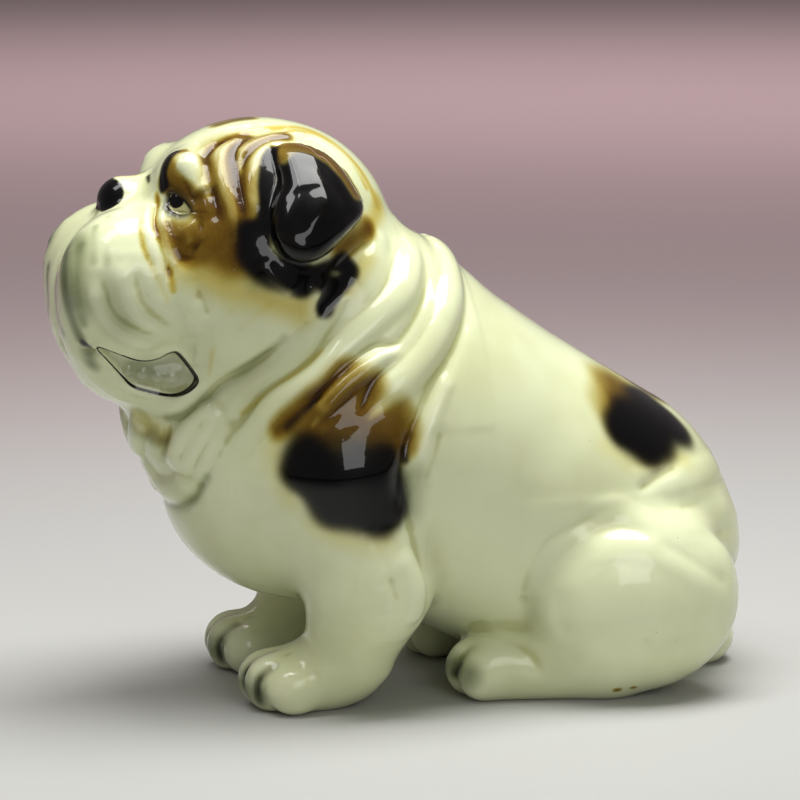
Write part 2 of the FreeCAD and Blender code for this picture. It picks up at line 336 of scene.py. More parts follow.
def line_distance(p, line):
    """Distance from points to a polyline, and how far along it the nearest point lies, 0 to 1."""
    best = np.full(len(p), 1e9)
    place = np.zeros(len(p))
    spans = np.linalg.norm(np.diff(line, axis=0), axis=1)
    run = np.concatenate([[0], np.cumsum(spans)]) / spans.sum()
    for i in range(len(line) - 1):
        along = line[i + 1] - line[i]
        t = np.clip((p - line[i]) @ along / max(along @ along, 1e-9), 0, 1)
        gap = ((p - line[i] - t[:, None] * along) ** 2).sum(1)
        nearer = gap < best
        best[nearer] = gap[nearer]
        place[nearer] = (run[i] + t * (run[i + 1] - run[i]))[nearer]
    return np.sqrt(best), place


def outline_distance(p, outline):
    """Signed distance to a closed outline in a plane, negative inside."""
    line = smooth_line(outline, closed=True, per_span=4)
    line = np.vstack([line, line[:1]])
    gap, _ = line_distance(p, line)
    inside = np.zeros(len(p), bool)
    for a, b in zip(line[:-1], line[1:]):
        crosses = (a[1] > p[:, 1]) != (b[1] > p[:, 1])
        x = (b[0] - a[0]) * (p[:, 1] - a[1]) / (b[1] - a[1] + 1e-12) + a[0]
        inside ^= crosses & (p[:, 0] < x)
    return np.where(inside, -gap, gap)


def near(p, points, margin):
    """Indices of the points inside the box around a few points."""
    points = np.atleast_2d(points)
    low, high = points.min(0) - margin, points.max(0) + margin
    return np.nonzero(((p > low) & (p < high)).all(1))[0]


def smoothstep(x):
    x = np.clip(x, 0, 1)
    return x * x * (3 - 2 * x)


def on_left(p):
    """The same points with both sides brought to the left."""
    q = p.copy()
    q[:, 0] = np.abs(q[:, 0])
    return q


def mouth_distance(p):
    """Signed distance to the mouth's outline, in mm; large away from it."""
    value = np.full(len(p), float(FAR))
    close = near(p, MOUTH_BOX, 6)
    value[close] = outline_distance(p[close][:, 1:], MOUTH)
    return np.clip(value, -FAR, FAR)


def eye_coordinates(p):
    """Signed distance to the eye's outline and distance to the middle of the iris."""
    edge = np.full(len(p), float(FAR))
    iris = np.full(len(p), float(FAR_IRIS))
    close = near(p, [IRIS], 15)
    q = p[close] - np.array(IRIS)
    flat = np.stack([q @ np.array(EYE_OUT), q @ np.array(EYE_UP)], 1)
    edge[close] = outline_distance(flat, EYE)
    iris[close] = np.linalg.norm(flat - np.array(PUPIL), axis=1)
    return np.clip(edge, -FAR, FAR), np.clip(iris, 0, FAR_IRIS)


def on_clay(points):
    """The points of a route in space: where only Y and Z are given, X is that of the clay's left side."""
    x = np.arange(75, -0.5, -0.5)
    out = []
    for point in points:
        if len(point) == 3:
            out.append(point)
            continue
        ray = np.column_stack([x, np.full((len(x), 2), point)]).astype(np.float32)
        inside = body(ray) < 0
        out.append((x[inside.argmax()] if inside.any() else 0, *point))
    return out


def relief(p):
    """Height of the folds, bumps, mouth and eyes over the clay, in mm."""
    p = on_left(p)
    height = np.zeros(len(p))
    for rise, width, points in ROLLS:
        line = smooth_line(on_clay(points))
        close = near(p, line, width)
        gap, place = line_distance(p[close], line)
        from_end = 1 - place if line[0, 0] < MIDDLE else np.minimum(place, 1 - place)
        taper = smoothstep(from_end / 0.18)
        roll = rise * taper * np.sqrt(np.clip(1 - (gap / (width * (0.6 + 0.4 * taper))) ** 2, 0, None))
        height[close] = -melt(-height[close], -roll, 1.2)
    clefts = [(-1.5, 1.0, [(x, y, 2), (x, y, 12), (top, y + 7, 17), (top, y + 14, 21)])
              for x, y, top in FORE_CLEFTS + HIND_CLEFTS]
    for depth, width, points in FOLDS + clefts:
        line = smooth_line(on_clay(points))
        close = near(p, line, 3 * width)
        gap, place = line_distance(p[close], line)
        taper = smoothstep(np.minimum(place, 1 - place) / 0.22) if line[0, 0] > 0 else 1.0
        height[close] += depth * taper * np.exp(-(gap / width) ** 1.6)
    for rise, radius, point in BUMPS:
        close = near(p, point, 3 * radius)
        gap = np.linalg.norm(p[close] - np.array(point), axis=1)
        height[close] += rise * np.exp(-(gap / radius) ** 2)
    mouth = mouth_distance(p)
    lip = np.exp(-((mouth - 0.9) / 1.0) ** 2)
    height += LIP_RISE * lip - MOUTH_DEPTH * smoothstep(0.5 - mouth / 1.6)
    edge, iris = eye_coordinates(p)
    lid = np.exp(-((edge - 1.4) / 1.0) ** 2)
    height += LID_RISE * lid - EYE_DEPTH * smoothstep(0.5 - edge / 1.6)
    height += EYEBALL_RISE * smoothstep(1 - iris / 6) * (edge < 0)
    return height


def surface(field, low, high, step, block=6):
    """Surface nets: a quad mesh on the zero level of a distance function, sought only near that level."""
    low = np.asarray(low, float)
    count = np.ceil((np.asarray(high) - low) / (step * block)).astype(int)
    centres = [low[i] + (np.arange(count[i]) + 0.5) * step * block for i in range(3)]
    coarse = np.stack(np.meshgrid(*centres, indexing="ij"), -1).reshape(-1, 3).astype(np.float32)
    value = field(coarse).reshape(count)
    grid = np.sign(value).repeat(block, 0).repeat(block, 1).repeat(block, 2)
    grid = np.pad(grid, ((0, 1),) * 3, mode="edge").astype(np.float32) * 1e3
    wanted = np.zeros(grid.shape, bool)
    reach = 1.18 * step * block + step      # from the middle of a block past its corners
    for corner in np.argwhere(np.abs(value) < reach):
        wanted[tuple(slice(i * block, (i + 1) * block + 1) for i in corner)] = True
    index = np.argwhere(wanted)
    points = (low + index * step).astype(np.float32)
    grid[wanted] = np.concatenate([field(points[i:i + CHUNK]) for i in range(0, len(points), CHUNK)])

    inside = grid < 0
    corners = [(a, b, c) for a in (0, 1) for b in (0, 1) for c in (0, 1)]
    size = np.array(grid.shape) - 1
    full = sum(inside[a:size[0] + a, b:size[1] + b, c:size[2] + c].astype(np.int8) for a, b, c in corners)
    cell = np.argwhere((full > 0) & (full < 8))
    number = np.full(full.shape, -1, np.int64)
    number[tuple(cell.T)] = np.arange(len(cell))
    total = np.zeros((len(cell), 3))
    crossings = np.zeros(len(cell))
    values = [grid[tuple((cell + corner).T)] for corner in corners]
    for a in range(8):
        for b in range(a + 1, 8):
            start, end = np.array(corners[a]), np.array(corners[b])
            if np.abs(start - end).sum() != 1:
                continue
            crosses = (values[a] < 0) != (values[b] < 0)
            t = values[a] / np.where(crosses, values[a] - values[b], 1)
            total += np.where(crosses[:, None], start + t[:, None] * (end - start), 0)
            crossings += crosses
    verts = low + (cell + total / crossings[:, None]) * step
    quads = []
    for axis in range(3):
        one, two = [i for i in range(3) if i != axis]
        ahead = np.roll(inside, -1, axis)
        for sign, edge in ((1, inside & ~ahead), (-1, ahead & ~inside)):
            at = np.argwhere(edge)
            at = at[(at[:, axis] < size[axis]) & (at[:, one] > 0) & (at[:, two] > 0)
                    & (at[:, one] < size[one]) & (at[:, two] < size[two])]
            ring = []
            for back_one, back_two in ((1, 1), (0, 1), (0, 0), (1, 0)):
                shifted = at.copy()
                shifted[:, one] -= back_one
                shifted[:, two] -= back_two
                ring.append(number[tuple(shifted.T)])
            ring = np.stack(ring, 1)
            flip = (sign == -1) != (axis == 1)
            quads.append(ring[:, ::-1] if flip else ring)
    return verts, np.concatenate(quads)


def triangles_of(quads):
    return np.concatenate([quads[:, [0, 1, 2]], quads[:, [0, 2, 3]]])


def refine(verts, tris, wanted):
    """Split every edge whose two ends are wanted, and the triangles on it."""
    edges = np.sort(np.concatenate([tris[:, [0, 1]], tris[:, [1, 2]], tris[:, [2, 0]]]), axis=1)
    unique, where = np.unique(edges, axis=0, return_inverse=True)
    where = where.reshape(3, -1).T
    split = wanted[unique[:, 0]] & wanted[unique[:, 1]]
    fresh = np.full(len(unique), -1)
    fresh[split] = len(verts) + np.arange(split.sum())
    verts = np.vstack([verts, (verts[unique[split, 0]] + verts[unique[split, 1]]) / 2])
    middle = fresh[where]
    cut = middle >= 0
    count = cut.sum(1)
    out = [tris[count == 0]]
    for k in range(3):
        turn = [k, (k + 1) % 3, (k + 2) % 3]
        a, b, c = tris[:, turn].T
        ab, bc, ca = middle[:, turn].T
        cut_ab, cut_bc, cut_ca = cut[:, turn].T
        one = (count == 1) & cut_ab
        out += [np.stack([a, ab, c], 1)[one], np.stack([ab, b, c], 1)[one]]
        two = (count == 2) & cut_ab & cut_bc
        halves = [[ab, b, bc], [a, ab, bc], [a, bc, c]]
        out += [np.stack(corners, 1)[two] for corners in halves]
    all_three = count == 3
    a, b, c = tris[all_three].T
    ab, bc, ca = middle[all_three].T
    quarters = [[a, ab, ca], [ab, b, bc], [ca, bc, c], [ab, bc, ca]]
    out += [np.stack(corners, 1) for corners in quarters]
    return verts, np.concatenate(out)


def normals_of(verts, tris):
    face = np.cross(verts[tris[:, 1]] - verts[tris[:, 0]], verts[tris[:, 2]] - verts[tris[:, 0]])
    total = np.zeros_like(verts)
    for k in range(3):
        for axis in range(3):
            total[:, axis] += np.bincount(tris[:, k], face[:, axis], len(verts))
    return total / np.maximum(np.linalg.norm(total, axis=1, keepdims=True), 1e-12)


def smoothed(values, tris, rounds):
    """Average each vertex with its neighbours a number of times."""
    edges = np.concatenate([tris[:, [0, 1]], tris[:, [1, 2]], tris[:, [2, 0]]])
    a = np.concatenate([edges[:, 0], edges[:, 1]])
    b = np.concatenate([edges[:, 1], edges[:, 0]])
    degree = np.bincount(a, minlength=len(values))
    values = values.copy()
    for _ in range(rounds):
        for axis in range(values.shape[1]):
            around = np.bincount(a, values[b, axis], len(values)) / np.maximum(degree, 1)
            values[:, axis] = 0.4 * values[:, axis] + 0.6 * around
    return values


def onto(field, p, rounds=2, limit=0.6):
    """Move points onto the zero level of a field, along its slope."""
    for _ in range(rounds):
        step = 0.15
        value = field(p.astype(np.float32))
        ahead = [field((p + step * axis).astype(np.float32)) for axis in np.eye(3)]
        slope = (np.stack(ahead, 1) - value[:, None]) / step
        square = np.maximum((slope * slope).sum(1), 0.2)
        move = -slope * (value / square)[:, None]
        length = np.linalg.norm(move, axis=1, keepdims=True)
        p = p + move * np.minimum(1, limit / np.maximum(length, 1e-9))
    return p


ON_CUT = 0.05                   # a vertex this near the seam lies on it, mm


def slice_mesh(data, tris, side):
    """Cut a mesh where side changes sign. New vertices on the cut are shared by both halves."""
    side = np.where(np.abs(side) < ON_CUT, 0, side)
    sign = np.sign(side).astype(int)
    corner = sign[tris]
    mixed = (corner.min(1) < 0) & (corner.max(1) > 0)
    below = [tris[(corner.max(1) <= 0) & ~mixed]]
    above = [tris[(corner.min(1) >= 0) & (corner.max(1) > 0)]]
    cut = tris[mixed]
    edges = np.sort(np.concatenate([cut[:, [0, 1]], cut[:, [1, 2]], cut[:, [2, 0]]]), axis=1)
    edges = np.unique(edges[sign[edges[:, 0]] * sign[edges[:, 1]] < 0], axis=0)
    t = (side[edges[:, 0]] / (side[edges[:, 0]] - side[edges[:, 1]]))[:, None]
    fresh = data[edges[:, 0]] * (1 - t) + data[edges[:, 1]] * t
    key = edges[:, 0] * len(data) + edges[:, 1]
    first = len(data)

    def on_edge(a, b):
        return first + np.searchsorted(key, np.minimum(a, b) * first + np.maximum(a, b))

    for k in range(3):
        v = cut[:, [k, (k + 1) % 3, (k + 2) % 3]]
        s = sign[v]
        for one, here, there in ((-1, below, above), (1, above, below)):
            alone = (s[:, 0] == one) & (s[:, 1] == -one) & (s[:, 2] == -one)
            a, b, c = v[alone].T
            ab, ac = on_edge(a, b), on_edge(a, c)
            here.append(np.stack([a, ab, ac], 1))
            there += [np.stack([ab, b, c], 1), np.stack([ab, c, ac], 1)]
            touching = (s[:, 0] == 0) & (s[:, 1] == one) & (s[:, 2] == -one)
            a, b, c = v[touching].T
            bc = on_edge(b, c)
            here.append(np.stack([a, b, bc], 1))
            there.append(np.stack([a, bc, c], 1))
    return np.vstack([data, fresh]), np.concatenate(below), np.concatenate(above)


def capped(data, tris):
    """Close every open loop with a fan to a point in its middle."""
    edges = np.concatenate([tris[:, [0, 1]], tris[:, [1, 2]], tris[:, [2, 0]]])
    big = len(data)
    forward = edges[:, 0] * big + edges[:, 1]
    backward = edges[:, 1] * big + edges[:, 0]
    open_edges = edges[~np.isin(forward, backward)]
    onward = {}
    for a, b in open_edges:
        onward.setdefault(int(b), []).append(int(a))
    extra, fans = [], []
    while onward:
        start = next(iter(onward))
        loop = [start]
        while True:
            targets = onward[loop[-1]]
            following = targets.pop()
            if not targets:
                del onward[loop[-1]]
            if following == start:
                break
            loop.append(following)
            if following not in onward:
                break
        if len(loop) < 3:
            continue
        centre = big + len(extra)
        extra.append(data[loop].mean(0))
        fans += [(a, b, centre) for a, b in zip(loop, loop[1:] + loop[:1])]
    if not extra:
        return data, tris
    return np.vstack([data, extra]), np.vstack([tris, fans])


# Paint under the glaze, some smoke and tan strokes being painted shade: channel, side (0 both, 1 left, -1
# right), strength, radius, softness and points, given like those of the folds. Each entry is a soft brush
# stroke; the radius is where it fades to half.
BROWN, BLACK, TAN_AND_SHADE, SMOKE_AND_SHADE, WIPE = range(5)
STROKES = [
    # left of the face: brown in the grooves and over the cheek, black beside and under the ear
    (BROWN, 1, 0.95, 6.0, 5.5, [(-78, 161), (-68, 156)]),
    (BROWN, 1, 0.85, 4.5, 4.0, [(-84, 162), (-78, 161)]),
    (BROWN, 1, 1.0, 5.5, 4.0, [(-74, 172), (-68, 160)]),
    (BROWN, 1, 1.0, 4.5, 3.0, [(-64, 180), (-64, 164)]),
    (BROWN, 1, 0.9, 2.0, 2.2, [(-74, 180), (-73, 186), (19, -68, 191), (19, -58, 194)]),
    (BROWN, 1, 0.9, 1.9, 2.0, [(-65, 178), (-64, 189), (22, -57, 193), (20, -46, 194)]),
    (BROWN, 1, 0.9, 1.7, 1.8, [(-63, 180), (-58, 190), (21, -45, 193)]),
    (BROWN, 1, 0.8, 2.5, 3.0, [(-70, 185), (-72, 172)]),
    (BROWN, 1, 0.35, 7.0, 6.0, [(21, -68, 190), (-66, 172), (-60, 174), (-60, 187)]),
    (BROWN, 0, 0.85, 2.6, 2.2, [(3, -64, 197), (3, -54, 199)]),
    (TAN_AND_SHADE, 0, 0.9, 1.4, 1.6, [(19, -70, 190), (15, -50, 196), (11, -34, 195), (17, -21, 185), (-14, 170)]),
    (TAN_AND_SHADE, 0, 0.8, 1.0, 1.0, [(21, -54, 193), (14, -36, 195), (15, -28, 190), (-18, 176)]),
    (TAN_AND_SHADE, 0, 0.8, 3.0, 3.5, [(-13, 171), (-19, 163)]),
    (BLACK, 1, 0.42, 4.0, 7.0, [(-66, 165), (-62, 148)]),
    (BLACK, 1, 1.0, 3.2, 2.2, [(-51, 188), (-54, 184), (-57, 170), (-60, 162)]),
    (BLACK, 1, 1.0, 5.0, 3.5, [(-62, 164), (-60, 156), (-54, 151), (-46, 148)]),
    (BLACK, 1, 0.95, 3.8, 2.5, [(-40, 148), (-36, 144), (-38, 139)]),
    (BLACK, 1, 0.95, 3.8, 2.5, [(-31, 153), (-29, 149), (-35, 144)]),
    (BLACK, 1, 0.8, 2.6, 2.0, [(-50, 153), (-42, 151), (-33, 153)]),
    (BROWN, 1, 0.9, 3.2, 3.0, [(-32, 157), (-20, 163)]),
    (TAN_AND_SHADE, 1, 0.65, 4.0, 6.0, [(-85, 154), (-72, 147), (-56, 142), (-46, 139)]),
    (TAN_AND_SHADE, 1, 0.7, 2.5, 3.0, [(-29, 144), (-21, 153)]),
    # brow front and the surround of the eye
    (BLACK, 1, 0.9, 2.2, 1.5, [(16, -82, 188), (19, -86, 183), (21, -87, 178)]),
    (BROWN, 1, 0.95, 2.4, 1.8, [(17, -80, 189), (22, -84, 182), (-78, 176), (-76, 172)]),
    (BROWN, 0, 0.9, 1.6, 2.0, [(22, -86, 178), (-80, 175), (-76, 169)]),
    (BROWN, 0, 0.6, 2.6, 2.5, [(-87, 165), (-83, 156), (-78, 156)]),
    (BROWN, 0, 1.0, 3.0, 2.5, [(21, -86, 180), (-78, 175), (-76, 170)]),
    (BLACK, 0, 0.5, 1.6, 2.0, [(22, -86, 179), (-78, 174)]),
    (BLACK, 0, 0.85, 1.0, 1.4, [(6, -89, 180), (10, -90, 179)]),
    # ridges of the forehead left ivory
    (WIPE, 1, 0.9, 3.0, 2.0, [(20, -80, 187), (-76, 183), (-74, 175)]),
    (WIPE, 1, 0.85, 1.4, 1.5, [(20, -68, 190), (-69, 184), (-67, 170), (-67, 162)]),
    (WIPE, 1, 0.35, 1.7, 1.7, [(-59, 185), (-59, 170)]),
    (WIPE, 1, 0.8, 0.7, 0.8, [(-61, 190), (-63, 182)]),
    (WIPE, 1, 0.95, 2.8, 1.8, [(-14, 160), (-24, 147), (-30, 143)]),
    # creases beside the muzzle carry a yellow wash
    (TAN_AND_SHADE, 0, 1.0, 0.9, 0.9, [(18, -88, 175), (-91, 165), (-88, 151), (-87, 145)]),
    (BROWN, 0, 0.45, 0.7, 1.0, [(18, -88, 175), (-91, 165), (-88, 151)]),
    (TAN_AND_SHADE, 0, 0.8, 0.7, 1.0, [(20, -94, 170), (-96, 164), (-95, 156), (-89, 142)]),
    (TAN_AND_SHADE, 0, 0.4, 0.6, 1.2, [(-69, 139), (-74, 124), (-74, 116)]),
    (TAN_AND_SHADE, 0, 0.4, 0.8, 1.4, [(-57, 141), (-66, 133)]),
    (TAN_AND_SHADE, 0, 0.5, 0.8, 1.4, [(-39, 124), (-50, 115), (-64, 103)]),
    # smoky strokes down the front of the muzzle, and a black smudge in the corner of the lips
    (SMOKE_AND_SHADE, 0, 0.95, 2.0, 2.4, [(19, -119, 156), (23, -120, 144), (25, -116, 129)]),
    (SMOKE_AND_SHADE, 0, 0.8, 1.2, 1.8, [(24, -115, 159), (28, -117, 146), (28, -115, 134)]),
    (SMOKE_AND_SHADE, 0, 0.8, 1.6, 2.0, [(10, -121, 148), (9, -121, 137), (15, -120, 130)]),
    (SMOKE_AND_SHADE, 0, 0.75, 5.5, 6.0, [(22, -117, 158), (27, -118, 141)]),
    (SMOKE_AND_SHADE, 0, 0.5, 0.9, 1.6, [(22, -110, 165), (30, -112, 154)]),
    (SMOKE_AND_SHADE, 0, 0.35, 0.8, 1.6, [(20, -105, 168), (33, -108, 154)]),
    (SMOKE_AND_SHADE, 0, 0.3, 5.0, 6.0, [(34, -108, 143), (34, -104, 135)]),
    (BLACK, 0, 0.8, 1.6, 1.6, [(25, -115, 127), (26, -113, 125)]),
    # painted shade: smoke under the overhanging upper lip at the corner, and across the teeth in the sunken
    # mouth
    (SMOKE_AND_SHADE, 0, 0.7, 2.2, 3.0, [(24, -114, 123), (22, -112, 119)]),
    (SMOKE_AND_SHADE, 0, 0.45, 4.0, 4.0, [(27, -98, 117), (28, -88, 116)]),
    # painted shade: smoke tinted with tan under the jaw, and smoke along the creases under the jaw and round
    # the dewlap
    (SMOKE_AND_SHADE, 0, 0.6, 3.0, 4.0, [(9, -95, 97), (20, -88, 92)]),
    (TAN_AND_SHADE, 0, 0.7, 3.0, 4.0, [(12, -94, 98), (22, -87, 92)]),
    (SMOKE_AND_SHADE, 0, 0.45, 1.2, 2.0, [(-3, -84, 67), (15, -82, 68), (25, -78, 73), (-75, 81)]),
    (SMOKE_AND_SHADE, 0, 0.4, 1.6, 2.0, [(-52, 129), (-66, 116), (-80, 103), (24, -87, 100)]),
    # left shoulder patch, brown above black
    (BROWN, 1, 1.0, 3.4, 3.5, [(-54, 99), (-43, 109), (-33, 118)]),
    (BLACK, 1, 0.5, 1.2, 2.0, [(-52, 100), (-41, 110)]),
    (BROWN, 1, 1.0, 5.5, 5.0, [(-39, 107), (-27, 113)]),
    (BROWN, 1, 1.0, 8.5, 6.5, [(-42, 99), (-33, 103), (-20, 98)]),
    (BROWN, 1, 0.8, 4.5, 5.0, [(-16, 104), (-16, 95)]),
    (TAN_AND_SHADE, 1, 0.35, 3.0, 7.0, [(-54, 97), (-55, 90), (-52, 77)]),
    (TAN_AND_SHADE, 1, 0.3, 3.0, 6.0, [(-44, 69), (-35, 64), (-22, 63)]),
    (WIPE, 1, 0.85, 1.7, 1.4, [(-20, 122), (-34, 113), (-44, 101)]),
    (WIPE, 1, 0.8, 2.4, 2.0, [(-17, 110), (-26, 103)]),
    (BLACK, 1, 0.5, 7.0, 12.0, [(-44, 94), (-36, 96), (-25, 93)]),
    (BLACK, 1, 0.35, 5.0, 9.0, [(-51, 92), (-44, 74)]),
    (BLACK, 1, 1.0, 8.0, 7.0, [(-44, 87), (-26, 84)]),
    (BLACK, 1, 1.0, 9.0, 6.0, [(-38, 77), (-23, 73)]),
    (BLACK, 1, 0.85, 5.0, 6.0, [(-49, 91), (-51, 86)]),
    (BLACK, 1, 0.75, 3.5, 5.0, [(-20, 90), (-17, 82), (-16, 72)]),
    (SMOKE_AND_SHADE, 1, 0.6, 4.0, 6.0, [(-13, 83), (-13, 72)]),
    (BROWN, 1, 0.7, 2.6, 3.0, [(-13, 97), (-13, 93)]),
    (BLACK, 1, 0.9, 1.5, 1.6, [(-14, 93), (-14, 89)]),
    # rump patch up to the spine
    (BROWN, 1, 0.95, 9.0, 9.0, [(24, 73, 104), (33, 70, 98)]),
    (TAN_AND_SHADE, 1, 0.3, 3.0, 6.0, [(61, 88), (72, 82), (92, 81)]),
    (BLACK, 1, 1.0, 11.0, 9.0, [(33, 78, 95), (31, 83, 92)]),
    (BLACK, 1, 1.0, 9.0, 7.0, [(70, 92), (78, 87)]),
    (BLACK, 0, 0.95, 7.0, 7.0, [(20, 84, 99), (27, 94, 89)]),
    (BROWN, 0, 0.9, 3.5, 6.0, [(2, 76, 109), (8, 90, 99)]),
    (BROWN, -1, 0.7, 6.0, 5.0, [(-2, 72, 112), (-6, 80, 108)]),
    (BLACK, 0, 0.6, 5.0, 6.0, [(4, 84, 104), (6, 92, 99)]),
    # nose, nostril line and the split of the lips
    (TAN_AND_SHADE, 0, 0.5, 2.0, 2.0, [(0, -92, 182), (0, -98, 181)]),
    (BLACK, 0, 1.0, 6.0, 0.6, [(-5, -103, 174), (5, -103, 174)]),
    (BLACK, 0, 0.9, 1.0, 0.7, [(2, -111, 166), (5, -115, 162)]),
    (BLACK, 0, 0.8, 0.8, 0.8, [(0, -108, 170), (0, -116, 163), (0, -121, 152), (0, -122, 138),
                               (0, -119, 126)]),
    # right side: a brown patch by the ear and one on the flank
    (BROWN, -1, 0.9, 7.0, 5.0, [(-42, -56, 176), (-46, -56, 162)]),
    (BROWN, -1, 0.9, 9.0, 6.0, [(-48, 6, 106), (-54, 12, 92)]),
    (BLACK, -1, 1.0, 9.0, 5.0, [(-54, 10, 92), (-56, 14, 82)]),
    # smoky toes
    (SMOKE_AND_SHADE, 0, 0.95, 4.0, 4.0, [(20, -60, 8), (29, -64, 9), (38, -60, 8)]),
    (SMOKE_AND_SHADE, 0, 0.9, 3.5, 4.0, [(30, 10, 12), (38, 10, 12), (44, 13, 10)]),
    (BLACK, 0, 0.7, 2.0, 3.0, [(37, 9, 9), (40, 10, 13)]),
    # brown specks from the kiln
    (BROWN, 1, 0.8, 0.9, 0.7, [(62, 4.4), (63, 4.6)]),
    (BROWN, 1, 0.7, 0.7, 0.6, [(67.7, 5.2), (68.6, 5.0)]),
]
TOE_STROKES = [(BLACK, 0, 0.6, 1.6, 2.6, [(x, y, 4), (x, y, 11), (x, y + 6, 16)]) for x, y, _ in FORE_CLEFTS]


def soft_noise(p, size, seed):
    """Smooth noise between -1 and 1 from a few waves with seeded directions."""
    rng = np.random.default_rng(seed)
    total = np.zeros(len(p))
    for _ in range(9):
        direction = rng.normal(size=3)
        direction *= 2 * math.pi / size / np.linalg.norm(direction) * rng.uniform(0.6, 1.5)
        total += np.sin(p @ direction + rng.uniform(0, 2 * math.pi))
    return total / 4


def paint(p):
    """Paint densities at the points, painted shade among them, one column for each channel."""
    density = np.zeros((len(p), 4))
    wander = soft_noise(p, 16, 5)
    for channel, side, strength, radius, softness, points in STROKES + TOE_STROKES:
        q = on_left(p) if side == 0 else p
        line = smooth_line(on_clay(points), per_span=4)
        close = near(q, line, radius + 2 * softness)
        gap, place = line_distance(q[close], line)
        gap += wander[close] * min(0.7, 0.2 * softness)
        if channel == WIPE:
            gap += 0.9 * radius * place ** 2
        cover = strength * smoothstep(0.5 - (gap - radius) / (2 * softness))
        if channel == WIPE:
            density[close] *= 1 - cover[:, None]
        else:
            density[close, channel] = 1 - (1 - density[close, channel]) * (1 - cover)
    return density


def ear_paint(p):
    """The ears are black inside a brown band along the top fold."""
    q = on_left(p)
    density = np.zeros((len(p), 2))
    close = near(q, EAR_BOX, 4)
    q = q[close]
    on_ear = smoothstep(0.5 - (ear(q) - 0.8) / 1.0)
    top, _ = line_distance(q[:, 1:], np.array(EAR_TOP, float))
    band = smoothstep(0.5 - (top - 4.0) / 3.2)
    density[close, 0] = on_ear * (1 - 0.95 * band)
    density[close, 1] = on_ear * band
    return density[:, 0], density[:, 1]


# ---- model the clay ----
MARGIN = 4                      # room left round the object's box, mm
RESTING = 0.3                   # clay lower than this is the flat face the piece rests on, mm
UNEVEN = 0.18                   # gentle unevenness of clay finished by hand, mm


def round_details(p, mouth_reach, eye_reach, iris_reach):
    """Which points lie near the mouth's or the eye's outline, or near the iris, in mm."""
    q = on_left(p)
    edge, iris = eye_coordinates(q)
    return (np.abs(mouth_distance(q)) < mouth_reach) | (np.abs(edge) < eye_reach) | (iris < iris_reach)


box_low = np.array(CAD_BOX[0]) / MM - MARGIN
box_high = np.array(CAD_BOX[1]) / MM + MARGIN
verts, quads = surface(dog, box_low, box_high, STEP)
tris = triangles_of(quads)
on_face = (verts[:, 1] < -60) & (verts[:, 2] > 112)
verts, tris = refine(verts, tris, on_face & round_details(verts, 4, 0, 13))
verts, tris = refine(verts, tris, round_details(verts, 1.5, 3, 0))
verts = np.where(verts[:, 2:] < RESTING, verts, onto(dog, verts))
normals = normals_of(verts, tris)
# the relief and the unevenness fade out towards the flat face
verts = verts + normals * (relief(verts) * smoothstep(verts[:, 2] / 2.5))[:, None]
verts += normals * (UNEVEN * soft_noise(verts, 30, 2) * smoothstep(verts[:, 2] / 6))[:, None]
verts[:, 2] = np.maximum(verts[:, 2], 0)
verts = np.where(verts[:, 2:] > RESTING, smoothed(verts, tris, 2), verts)
normals = smoothed(normals_of(verts, tris), tris, 2)
normals /= np.linalg.norm(normals, axis=1)[:, None]

# hollows are positive and ridges negative, in mm, at a fine and a broad scale
fine = ((smoothed(verts, tris, 6) - verts) * normals).sum(1)
broad = ((smoothed(verts, tris, 60) - verts) * normals).sum(1)

density = paint(verts)
ear_black, ear_brown = ear_paint(verts)
density[:, BLACK] = 1 - (1 - density[:, BLACK]) * (1 - ear_black)
density[:, BROWN] = 1 - (1 - density[:, BROWN]) * (1 - ear_brown)
mouth = mouth_distance(on_left(verts))
eye_edge, iris = eye_coordinates(on_left(verts))
data = np.column_stack([verts, normals, density, fine, broad, mouth, eye_edge, iris])

# ---- cut it along the luted seams ----
# Each casting with what it is luted to: the seam runs where a point is equally far from both
SEAMS = {
    "ear": (ear, lambda p: melt(clay(p, HEAD), clay(p, TORSO), NECK_BLEND)),
    "foreleg": (lambda p: clay(p, FORELEG), lambda p: clay(p, TORSO)),
    "hind_leg": (lambda p: clay(p, HIND_LEG), lambda p: melt(clay(p, TORSO), clay(p, TAIL), TAIL_BLEND)),
    "tail": (lambda p: clay(p, TAIL), lambda p: melt(clay(p, TORSO), clay(p, HIND_LEG), HIP_BLEND)),
}
pieces = {}
rest = tris
for name, (casting, luted_to) in SEAMS.items():
    p = data[:, :3].astype(np.float32)
    seam = casting(p) - luted_to(p)
    data, part, rest = slice_mesh(data, rest, seam)
    if name == "tail":
        pieces["tail"] = part
        continue
    x = data[part, 0].mean(1)
    pieces["left_" + name] = part[x > 0]
    pieces["right_" + name] = part[x < 0]
data, pieces["torso"], pieces["head"] = slice_mesh(data, rest, neck_height(data[:, :3]))

CHANNELS = ("brown", "black", "tan", "smoke_and_shade", "fine", "broad", "mouth", "eye_edge", "iris")


def placed(name, data):
    """A new object in the scene."""
    item = bpy.data.objects.new(name, data)
    bpy.context.scene.collection.objects.link(item)
    return item


def make_piece(node, part):
    """One closed mesh object for a casting, with the paint channels on its vertices."""
    used, local = np.unique(part, return_inverse=True)
    local = local.reshape(part.shape)
    table, local = capped(data[used], local)
    mesh = bpy.data.meshes.new(node)
    mesh.from_pydata((table[:, :3] * MM).tolist(), [], local.tolist())
    mesh.shade_smooth()
    mesh.normals_split_custom_set_from_vertices(table[:, 3:6].tolist())
    for k, channel in enumerate(CHANNELS):
        layer = mesh.attributes.new(channel, "FLOAT", "POINT")
        layer.data.foreach_set("value", table[:, 6 + k].astype(np.float32))
    return placed(node + "_glazed", mesh)


